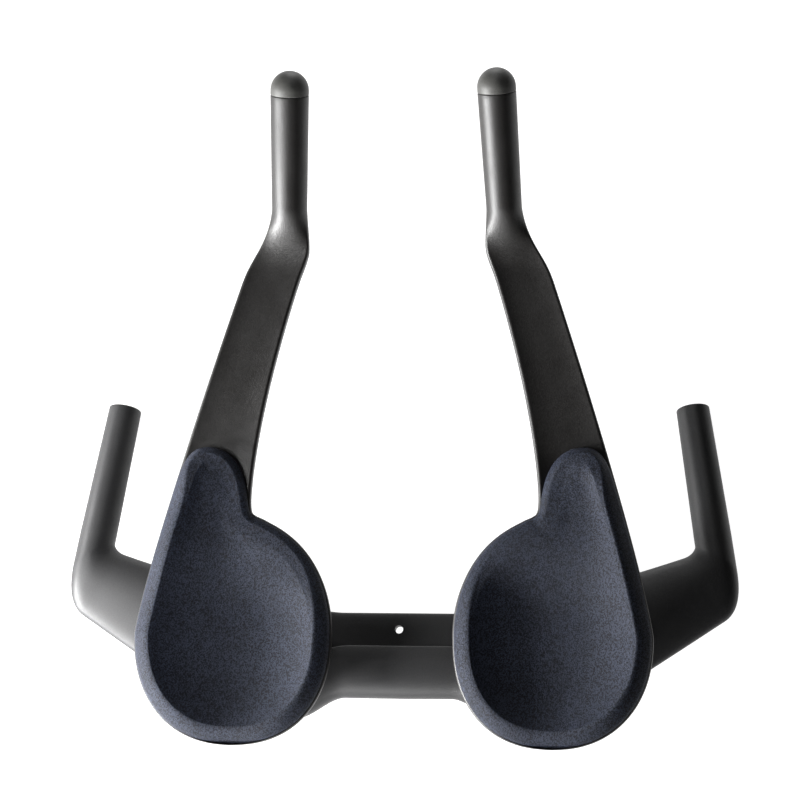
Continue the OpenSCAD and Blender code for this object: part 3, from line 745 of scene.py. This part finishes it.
def cap_grid():
    """Rings round the grip's axis: plug, flat shoulder, rounded edge, band and dome r (cos, sin)."""
    r = GRIP_TIP_D / 2
    plug_r = GRIP_BORE_D / 2 - PLUG_GAP
    edge = 0.0005
    turn = np.linspace(0, math.pi / 2, 7)
    dome = np.linspace(0, math.pi / 2, 34)[:-1]
    d = np.concatenate([[-PLUG_LENGTH, -PLUG_LENGTH, 0, 0], edge * (1 - np.cos(turn)),
                        [CAP_BAND * 0.6], CAP_BAND + r * np.sin(dome), [CAP_BAND + r]])
    rad = np.concatenate([[plug_r * 0.5, plug_r, plug_r, plug_r + 0.0005],
                          r - edge + edge * np.sin(turn), [r], r * np.cos(dome), [0.0001]])
    angle = np.linspace(0, 2 * math.pi, CAP_POINTS + 1)[:-1]
    across, up = grip_frame()
    axis = grip_root + (GRIP_LENGTH + SEAM_GAP + d[:, None]) * grip_dir
    ring = across * np.cos(angle)[:, None] + up * np.sin(angle)[:, None]
    return axis[:, None] + rad[:, None, None] * ring


def make_caps():
    cap = cap_grid()
    return solid("tip_cap_dome_right", cap), solid("tip_cap_dome_left", mirrored(cap))


# Pads

tongue_tip_x = REST_X + TONGUE_TIP_OUT
spine_back = np.array([REST_X + SPINE_BACK[0], SPINE_BACK[1]])
spine_front = np.array([REST_X + SPINE_FRONT[0], SPINE_FRONT[1]])


def closing(y, length, power):
    """1 behind the pad's front, falling to 0 over the given length."""
    return shoulder(np.maximum(0, y - PAD_FRONT + length) / length, power)


def pad_outline(count):
    """Outline up the outer side and back down the inner side: the tray's edges, drawn in to the
    tongue's tip. The points are spread evenly along each side's length."""
    fine = 3000
    v = np.linspace(0, 1, fine + 1)
    y = mix(-TRAY_BACK, PAD_FRONT, (1 - np.cos(math.pi * v)) / 2)
    outer = tongue_tip_x + (out_edge(y) - tongue_tip_x) * closing(y, *TIP_OUTER)
    inner = tongue_tip_x - (tongue_tip_x - in_edge(y)) * closing(y, *TIP_INNER)
    loop = np.concatenate([np.stack([outer, y], 1), np.stack([inner, y], 1)[::-1]])
    length = np.concatenate([[0], np.cumsum(np.linalg.norm(np.diff(loop, axis=0), axis=1))])
    half = length[fine]
    at = np.concatenate([np.linspace(0, half, count // 2 + 1)[:-1],
                         np.linspace(half, length[-1], count // 2 + 1)[:-1]])
    return np.stack([np.interp(at, length, loop[:, 0]), np.interp(at, length, loop[:, 1])], 1)


def pad_grid():
    """Rings from the spine out over the ridge and back under the pad. The ridge stands a distance
    inside the outline. Outside it a flank falls to the edge in a straight slope with round ends. Inside
    it a bowl falls to the tray's top plus the pad's thickness by (1 - w)^3, or (1 + 2 w) (1 - w)^2
    where the ridge has died out, w being the way to the spine. The ridge dies out round the tongue's
    front and inner side."""
    count = PAD_POINTS
    outline = pad_outline(count)
    along = np.roll(outline, -1, 0) - np.roll(outline, 1, 0)
    inward = unit(np.stack([-along[:, 1], along[:, 0]], 1))
    for _ in range(6):
        inward = unit(np.roll(inward, 1, 0) + 2 * inward + np.roll(inward, -1, 0))
    floor_edge = outline + (PAD_MARGIN + PAD_RIM_W) * inward
    share = np.clip((floor_edge[:, 1:] - spine_back[1]) / (spine_front[1] - spine_back[1]), 0, 1)
    spine = mix(spine_back, spine_front, share)
    y = outline[:, 1]
    inner_side = np.arange(count) >= count // 2
    fade = np.where(inner_side, ease(*RIDGE_END_IN, y), ease(*RIDGE_END_OUT, y))
    crest_d = mix(CREST_IN, CREST_FADED,
                  np.where(inner_side, ease(*CREST_FADE_IN, y), ease(*CREST_FADE_OUT, y)))

    def moved_in(d):
        return outline + (PAD_MARGIN + np.broadcast_to(d, y.shape))[:, None] * inward

    def over(p):
        return tray_top(p[:, 0], p[:, 1])

    def fill(p):
        """The tray's top plus the pad's thickness. Towards the tongue the foam fills part of the dish,
        its inner side gets thinner by t^2 and its top leans in."""
        x, y = p[:, 0], p[:, 1]
        a, b = in_edge(y), out_edge(y)
        t = np.clip((2 * x - a - b) / (b - a - 2 * ARM_EDGE_R), -1, 1)
        on_tongue = ease(*ON_TONGUE, y)
        bowl = dish(y) * (1 - TONGUE_FILL * on_tongue) * (1 - np.abs(t) ** 2.6)
        thick = PAD_T * (1 - TONGUE_THIN * on_tongue * np.minimum(t, 0) ** 2)
        return rim_height(x, y) - bowl + thick + TONGUE_TILT * t * on_tongue

    edge_z = over(moved_in(0))
    over_edge = edge_z + EDGE_COVER
    above_edge = fill(moved_in(CREST_FROM)) + PAD_ROLL * (1 - fade) - over_edge
    crest_z = over_edge + ramp(above_edge, COVER_ROUND)
    bowl_z = fill(floor_edge)
    lift = (crest_z - bowl_z) * mix(BOWL_LIFT, TONGUE_LIFT, fade)
    rings = []
    for w in BOWL_STEPS:
        p = mix(floor_edge, spine, w)
        fall = mix((1 - w) ** 3, (1 + 2 * w) * (1 - w) ** 2, fade)
        rings.append(np.column_stack([p, fill(p) + lift * fall]))
    for q, rise in PAD_FLANK:
        p = moved_in(mix(crest_d, PAD_RIM_W, q - 1) if q > 1 else crest_d * q)
        z = mix(bowl_z + lift, crest_z, rise) if q > 1 else mix(edge_z, crest_z, rise)
        rings.append(np.column_stack([p, z]))
    for d, h in ((0.0004, PAD_T * 0.12), (0.0016, SOFT_GAP), (0.006, SOFT_GAP)):
        p = moved_in(d)
        rings.append(np.column_stack([p, over(p) + h]))
    for w in (0.1, 0.5, 0.97):
        p = mix(floor_edge, spine, w)
        rings.append(np.column_stack([p, over(p) + SOFT_GAP]))
    return through(np.array(rings), 4)


def make_pads():
    pad = pad_grid()
    return solid("pad_cushion_right", pad), solid("pad_cushion_left", mirrored(pad))


# Finishes

def new_material(name):
    """An empty node material with a Principled shader; gives its nodes, links and shader."""
    material = bpy.data.materials.new(name)
    material.use_nodes = True
    nodes, links = material.node_tree.nodes, material.node_tree.links
    return material, nodes, links, nodes["Principled BSDF"]


def noise(nodes, links, scale, detail=2.0, rough=0.5, stretch=None):
    """Noise on Object coordinates; stretch scales the three directions apart."""
    coords = nodes.new("ShaderNodeTexCoord")
    texture = nodes.new("ShaderNodeTexNoise")
    texture.inputs["Scale"].default_value = scale
    texture.inputs["Detail"].default_value = detail
    texture.inputs["Roughness"].default_value = rough
    place = coords.outputs["Object"]
    if stretch:
        mapping = nodes.new("ShaderNodeMapping")
        mapping.inputs["Scale"].default_value = stretch
        links.new(place, mapping.inputs["Vector"])
        place = mapping.outputs["Vector"]
    links.new(place, texture.inputs["Vector"])
    return texture.outputs["Fac"]


def flecks(nodes, links, scale):
    """One random colour for each cell of a Voronoi texture on Object coordinates."""
    coords = nodes.new("ShaderNodeTexCoord")
    texture = nodes.new("ShaderNodeTexVoronoi")
    texture.inputs["Scale"].default_value = scale
    links.new(coords.outputs["Object"], texture.inputs["Vector"])
    return texture.outputs["Color"]


def colour_ramp(nodes, links, value, *stops):
    """Colours blended by a value, between two stops of place and colour."""
    ramp_node = nodes.new("ShaderNodeValToRGB")
    for element, (place, colour) in zip(ramp_node.color_ramp.elements, stops):
        element.position = place
        element.color = (*colour, 1)
    links.new(value, ramp_node.inputs["Fac"])
    return ramp_node.outputs["Color"]


def value_range(nodes, links, value, low, high, start=0.3, end=0.7):
    """low + (high - low) (value - start) / (end - start), held between low and high."""
    ranged = nodes.new("ShaderNodeMapRange")
    ranged.inputs["From Min"].default_value = start
    ranged.inputs["From Max"].default_value = end
    ranged.inputs["To Min"].default_value = low
    ranged.inputs["To Max"].default_value = high
    links.new(value, ranged.inputs["Value"])
    return ranged.outputs["Result"]


def bump(nodes, links, shader, height, strength, distance):
    node = nodes.new("ShaderNodeBump")
    node.inputs["Strength"].default_value = strength
    node.inputs["Distance"].default_value = distance
    links.new(height, node.inputs["Height"])
    links.new(node.outputs["Normal"], shader.inputs["Normal"])


def satin_carbon(name, dark, light, rough):
    """Satin clear finish over dark moulded carbon: fine grain in colour, gloss and bump."""
    material, nodes, links, shader = new_material(name)
    grain = noise(nodes, links, 1300, 3, 0.7)
    cloud = noise(nodes, links, 45, 3, 0.55)
    links.new(colour_ramp(nodes, links, grain, (0.3, dark), (0.75, light)), shader.inputs["Base Color"])
    soft = value_range(nodes, links, cloud, rough - 0.04, rough + 0.04)
    spread = value_range(nodes, links, flecks(nodes, links, 1300), -0.03, 0.03)
    gloss = nodes.new("ShaderNodeMath")
    links.new(soft, gloss.inputs[0])
    links.new(spread, gloss.inputs[1])
    links.new(gloss.outputs["Value"], shader.inputs["Roughness"])
    shader.inputs["Specular IOR Level"].default_value = 0.5
    bump(nodes, links, shader, grain, 0.35, 0.0003)
    return material


def flocked_fabric():
    """Short navy-black nap: speckled colour, soft sheen and a fine pile bump."""
    material, nodes, links, shader = new_material("flocked_fabric")
    pile = noise(nodes, links, 1350, 3, 0.8)
    tufts = flecks(nodes, links, 1600)
    patch = noise(nodes, links, 60, 3, 0.6)
    speck = colour_ramp(nodes, links, tufts,
                        (0.35, (0.0006, 0.0011, 0.0042)), (0.65, (0.0165, 0.0208, 0.0335)))
    tint = colour_ramp(nodes, links, patch, (0.3, (0.8, 0.82, 0.86)), (0.7, (1.15, 1.16, 1.2)))
    blend = nodes.new("ShaderNodeMix")
    blend.data_type = "RGBA"
    blend.blend_type = "MULTIPLY"
    blend.inputs["Factor"].default_value = 1.0
    links.new(speck, blend.inputs["A"])
    links.new(tint, blend.inputs["B"])
    links.new(blend.outputs["Result"], shader.inputs["Base Color"])
    shader.inputs["Roughness"].default_value = 0.62
    shader.inputs["Specular IOR Level"].default_value = 0.2
    shader.inputs["Sheen Weight"].default_value = 0.06
    shader.inputs["Sheen Roughness"].default_value = 0.4
    shader.inputs["Sheen Tint"].default_value = (0.65, 0.72, 1.0, 1)
    bump(nodes, links, shader, pile, 1.0, 0.0004)
    return material


def moulded_plastic():
    """Satin black plastic with a fine spark-eroded grain."""
    material, nodes, links, shader = new_material("moulded_plastic")
    grain = noise(nodes, links, 1800, 2, 0.5)
    colour = colour_ramp(nodes, links, grain,
                         (0.3, (0.042, 0.042, 0.039)), (0.7, (0.062, 0.062, 0.058)))
    links.new(colour, shader.inputs["Base Color"])
    shader.inputs["Roughness"].default_value = 0.5
    bump(nodes, links, shader, grain, 0.2, 0.0002)
    return material


def hook_loops():
    """Black hook sheet: small hooks as a stretched noise bump."""
    material, nodes, links, shader = new_material("hook_loops")
    hooks = noise(nodes, links, 900, 1, 0.5, (1, 0.5, 1))
    colour = colour_ramp(nodes, links, hooks, (0.4, (0.004, 0.004, 0.004)), (0.6, (0.02, 0.02, 0.02)))
    links.new(colour, shader.inputs["Base Color"])
    shader.inputs["Roughness"].default_value = 0.8
    bump(nodes, links, shader, hooks, 0.8, 0.0008)
    return material


def turned_metal(name, base, rough):
    """Turned or plated metal with fine rings and a soft change in gloss."""
    material, nodes, links, shader = new_material(name)
    marks = noise(nodes, links, 500, 2, 0.5, (1, 1, 8))
    dark = tuple(0.8 * c for c in base)
    links.new(colour_ramp(nodes, links, marks, (0.3, dark), (0.7, base)), shader.inputs["Base Color"])
    links.new(value_range(nodes, links, marks, rough - 0.05, rough + 0.08), shader.inputs["Roughness"])
    shader.inputs["Metallic"].default_value = 1.0
    bump(nodes, links, shader, marks, 0.1, 0.0001)
    return material


def paint(obj, material):
    obj.data.materials.clear()
    obj.data.materials.append(material)


carbon = satin_carbon("satin_carbon", (0.009, 0.009, 0.010), (0.018, 0.018, 0.0185), 0.50)
arm_carbon = satin_carbon("arm_carbon", (0.005, 0.0045, 0.0045), (0.014, 0.013, 0.012), 0.44)
fabric = flocked_fabric()
plastic = moulded_plastic()
steel = turned_metal("plated_steel", (0.55, 0.56, 0.58), 0.32)
brass = turned_metal("turned_brass", (0.70, 0.56, 0.28), 0.35)
hook_sheet = hook_loops()

# Pieces on the frame

bar, pylons = make_base_bar()
arms = make_arms()
caps = make_caps()
pads = make_pads()
for obj in (bar, pylons):
    paint(obj, carbon)
    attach(obj, "root")
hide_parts("base_bar")
for side, arm, cap, pad in zip(("right", "left"), arms, caps, pads):
    paint(arm, arm_carbon)
    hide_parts("arm_" + side)
    paint(cap, plastic)
    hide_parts("tip_cap_" + side)
    paint(pad, fabric)
    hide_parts("pad_" + side)
    for obj in (arm, cap, pad):
        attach(obj, "root")
    paint(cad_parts["hook_sheet_" + side], hook_sheet)
for name, material in (("arm_screws", steel), ("arm_washers", steel),
                       ("pylon_inserts", brass), ("stem_inserts", brass)):
    paint(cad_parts[name], material)

# Floor, lamps and camera

FLOOR_GAP = 0.0004
FLOOR_Z = cad_box[0][2] - FLOOR_GAP
FLOOR_HALF = 6
FLOOR_BASE = 0.35
FLOOR_WHITE = 0.97
SKY_WHITE = 1.0
SKY_LIGHT = 0.01
LAMP_AIM = Vector((0, 0.06, 0.05))
CAMERA_AT = (0.1155, -0.1304, 1.2636)
CAMERA_TURN = (13.27, 5.23, -0.07)
FOCAL_PIXELS = 1908.3
FRAME_PIXELS = 800


def seen_by(nodes, links, *rays):
    """1 for rays of the named kinds, 0 for all others."""
    path = nodes.new("ShaderNodeLightPath")
    seen = path.outputs[rays[0]]
    for ray in rays[1:]:
        either = nodes.new("ShaderNodeMath")
        either.operation = "MAXIMUM"
        links.new(seen, either.inputs[0])
        links.new(path.outputs[ray], either.inputs[1])
        seen = either.outputs["Value"]
    return seen


def make_floor():
    """A wide pale floor. Rays from the camera and in glossy surfaces see it almost white, and the rest
    of its light comes from the lamps, so it keeps the soft shadow."""
    h = FLOOR_HALF
    corners = [(-h, -h, FLOOR_Z), (h, -h, FLOOR_Z), (h, h, FLOOR_Z), (-h, h, FLOOR_Z)]
    mesh = bpy.data.meshes.new("floor")
    mesh.from_pydata(corners, [], [(0, 1, 2, 3)])
    floor = bpy.data.objects.new("floor", mesh)
    bpy.context.scene.collection.objects.link(floor)
    material, nodes, links, shader = new_material("white_floor")
    shader.inputs["Base Color"].default_value = (FLOOR_BASE, FLOOR_BASE, FLOOR_BASE, 1)
    shader.inputs["Roughness"].default_value = 0.9
    shader.inputs["Specular IOR Level"].default_value = 0.0
    seen = seen_by(nodes, links, "Is Camera Ray", "Is Glossy Ray", "Is Transmission Ray")
    shader.inputs["Emission Color"].default_value = (1, 1, 1, 1)
    links.new(value_range(nodes, links, seen, 0, FLOOR_WHITE, 0, 1), shader.inputs["Emission Strength"])
    mesh.materials.append(material)


def make_world():
    """A sky that the camera sees white, through glass too, and that gives the object almost no light.
    The satin finish doesn't mirror its white, as the photo's flat tops are almost black."""
    world = bpy.data.worlds.new("studio")
    bpy.context.scene.world = world
    world.use_nodes = True
    nodes, links = world.node_tree.nodes, world.node_tree.links
    background = nodes["Background"]
    seen = seen_by(nodes, links, "Is Camera Ray", "Is Transmission Ray")
    background.inputs["Color"].default_value = (1, 1, 1, 1)
    strength = value_range(nodes, links, seen, SKY_LIGHT, SKY_WHITE, 0, 1)
    links.new(strength, background.inputs["Strength"])


# Lamps: name, distance from LAMP_AIM, degrees above the horizon, degrees round +Z from +X, side, watts.
LAMPS = (
    ("key_left", 1.0, 14, 195, 0.12, 20.0),
    ("key_left_rear", 1.0, 8, 210, 0.12, 14.0),
    ("rear_left_near", 0.45, 10, 235, 0.12, 1.6),
    ("left_front_low", 0.65, 12, 165, 0.12, 2.4),
    ("left_high_near", 0.45, 42, 188, 0.12, 1.0),
    ("left_high", 0.65, 40, 200, 0.12, 0.8),
    ("left_low_near", 0.45, 10, 200, 0.12, 0.5),
    ("rear_left_low", 1.0, 8, 230, 0.12, 3.6),
    ("rear_low", 0.65, 12, 270, 0.12, 1.7),
    ("front_low", 1.3, 8, 90, 0.50, 4.5),
    ("front_high", 1.3, 48, 92, 0.30, 1.8),
)


def soft_box(name, distance, high, round_z, size, power):
    """A square area lamp on a sphere round the bar's middle, turned to it and unseen by the camera."""
    lamp = bpy.data.lights.new(name, "AREA")
    lamp.size = size
    lamp.energy = power
    obj = bpy.data.objects.new(name, lamp)
    bpy.context.scene.collection.objects.link(obj)
    e, a = math.radians(high), math.radians(round_z)
    aim = Vector((math.cos(a) * math.cos(e), math.sin(a) * math.cos(e), math.sin(e)))
    obj.location = LAMP_AIM + distance * aim
    obj.rotation_euler = aim.to_track_quat("Z", "Y").to_euler()
    obj.visible_camera = False


def make_camera():
    """The camera stands over the bar and looks almost straight down."""
    data = bpy.data.cameras.new("camera")
    data.sensor_width = 36
    data.lens = FOCAL_PIXELS * data.sensor_width / FRAME_PIXELS
    data.clip_start, data.clip_end = 0.05, 20
    camera = bpy.data.objects.new("camera", data)
    bpy.context.scene.collection.objects.link(camera)
    camera.rotation_mode = "ZYX"
    camera.location = CAMERA_AT
    camera.rotation_euler = [math.radians(a) for a in CAMERA_TURN]
    bpy.context.scene.camera = camera


make_floor()
make_world()
for name, distance, high, round_z, size, power in LAMPS:
    soft_box(name, distance, high, round_z, size, power)
make_camera()
bpy.context.scene.view_settings.view_transform = "Standard"
